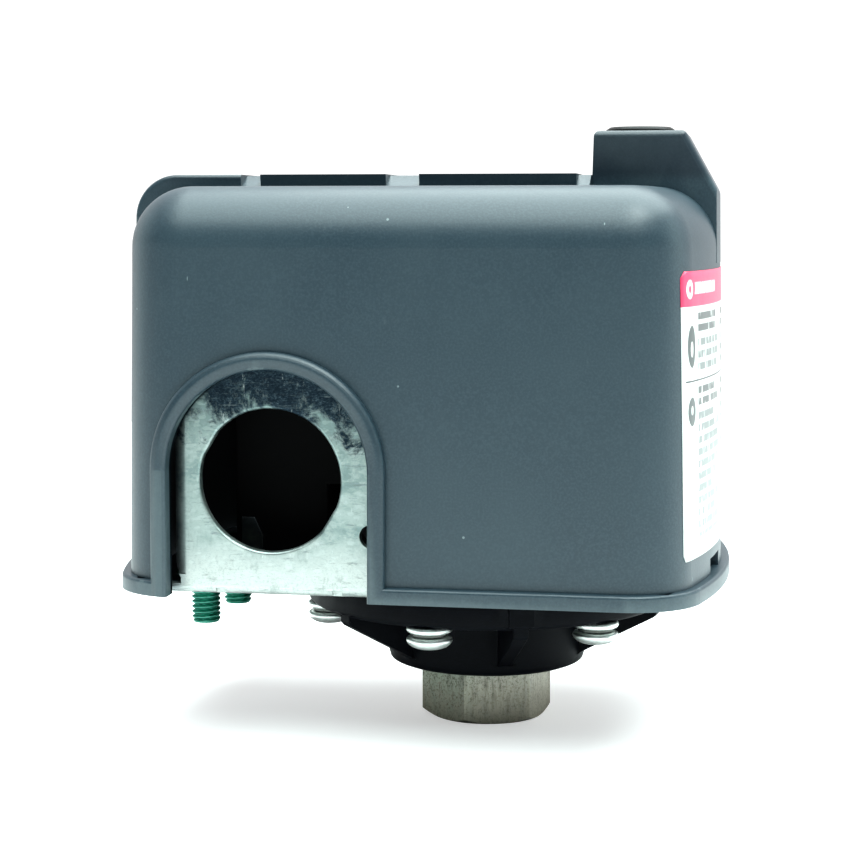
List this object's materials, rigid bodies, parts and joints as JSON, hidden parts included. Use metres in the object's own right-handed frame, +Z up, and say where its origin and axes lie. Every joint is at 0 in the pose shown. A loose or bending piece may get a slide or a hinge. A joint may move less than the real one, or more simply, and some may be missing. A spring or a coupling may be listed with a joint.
{
  "type": "pressure switch",
  "caption": "Pump pressure switch: moulded cover over a sprung lever and contact block, on a black diaphragm housing with a hexagonal pipe port.",
  "frame": {"origin": "middle of the pressure port's mouth, on the port's axis", "axes": "+Z up the port's axis, +X towards the range spring and the cover's boss, +Y across the case"},
  "size_m": [0.0988, 0.0748, 0.0978],
  "materials": {
    "cover_plastic": "fine moulded texture, blue grey",
    "black_plastic": "black moulded",
    "label": "printed film",
    "galvanised_steel": "hot-dip galvanised sheet, spangled",
    "housing_plastic": "glass-filled nylon, black",
    "zinc_steel": "bright zinc plate",
    "port_metal": "dull plated steel",
    "green_screw": "green dyed plate",
    "rubber": "black rubber",
    "phenolic": "black phenolic",
    "brass": "stamped brass",
    "contact_silver": "silver alloy",
    "spring_steel": "oiled spring wire",
    "carrier_plastic": "red brown moulded"
  },
  "bodies": {
    "base": {"base_plate": "galvanised_steel", "side_plate_front": "galvanised_steel", "side_plate_rear": "galvanised_steel", "pivot_bracket": "galvanised_steel", "block_clips": "zinc_steel", "pressure_port": "port_metal", "diaphragm_housing": "housing_plastic", "diaphragm": "rubber", "housing_screws": "zinc_steel", "housing_lock_washers": "zinc_steel", "housing_flat_washers": "zinc_steel", "lever_pin": "zinc_steel", "lever_pin_clips": "spring_steel", "range_stud": "zinc_steel", "range_spring": "spring_steel", "range_spring_washer": "zinc_steel", "differential_stud": "zinc_steel", "differential_spring": "spring_steel", "differential_spring_washer": "zinc_steel", "contact_block": "phenolic", "block_screws": "zinc_steel", "terminal_1": "brass", "terminal_2": "brass", "terminal_3": "brass", "terminal_4": "brass", "fixed_contacts": "contact_silver", "terminal_screws": "zinc_steel", "terminal_clamps": "zinc_steel", "carrier_pin": "zinc_steel", "ground_screw_front": "green_screw", "ground_screw_rear": "green_screw"},
    "plunger": {"plunger": "black_plastic"},
    "lever": {"main_lever": "galvanised_steel", "range_spring_cup": "zinc_steel", "differential_spring_cup": "zinc_steel"},
    "carrier": {"contact_carrier": "carrier_plastic", "contact_bridge_front": "brass", "contact_bridge_rear": "brass", "moving_contacts": "contact_silver", "contact_spring_front": "spring_steel", "contact_spring_rear": "spring_steel", "snap_spring": "spring_steel"},
    "range_nut": {"range_nut": "zinc_steel"},
    "differential_nut": {"differential_nut": "zinc_steel"},
    "cover": {"cover": "cover_plastic", "cover_label": "label"},
    "cover_nut": {"cover_nut": "black_plastic"}
  },
  "joints": [
    {"name": "lever_pivot", "type": "hinge", "parent": "base", "child": "lever", "pos_m": [-0.015, 0, 0.0343], "axis": [0, -1, 0], "range_deg": [0, 2.4], "stiffness_Nm_per_rad": 0.2, "springref_deg": -11.46, "deforming": ["range_spring", "differential_spring"]},
    {"name": "plunger_slide", "type": "slide", "parent": "base", "child": "plunger", "axis": [0, 0, 1], "range_m": [0, 0.0006], "deforming": ["diaphragm"]},
    {"name": "carrier_rock", "type": "hinge", "parent": "base", "child": "carrier", "pos_m": [-0.0027, 0, 0.0448], "axis": [0, 1, 0], "range_deg": [0, 8]},
    {"name": "range_nut_spin", "type": "hinge", "parent": "base", "child": "range_nut", "pos_m": [0.025, 0, 0.0744], "axis": [0, 0, 1], "continuous": true},
    {"name": "differential_nut_spin", "type": "hinge", "parent": "base", "child": "differential_nut", "pos_m": [0.009, 0, 0.0587], "axis": [0, 0, 1], "continuous": true},
    {"name": "cover_lift", "type": "slide", "parent": "base", "child": "cover", "axis": [0, 0, 1], "range_m": [0, 0.08]},
    {"name": "cover_nut_spin", "type": "hinge", "parent": "cover", "child": "cover_nut", "pos_m": [0.025, 0, 0.094], "axis": [0, 0, 1], "continuous": true}
  ],
  "couplings": [
    {"joint": "plunger_slide", "follows": "lever_pivot", "m_per_rad": 0.014085},
    {"joint": "carrier_rock", "follows": "lever_pivot", "ratio": 3.3333}
  ]
}
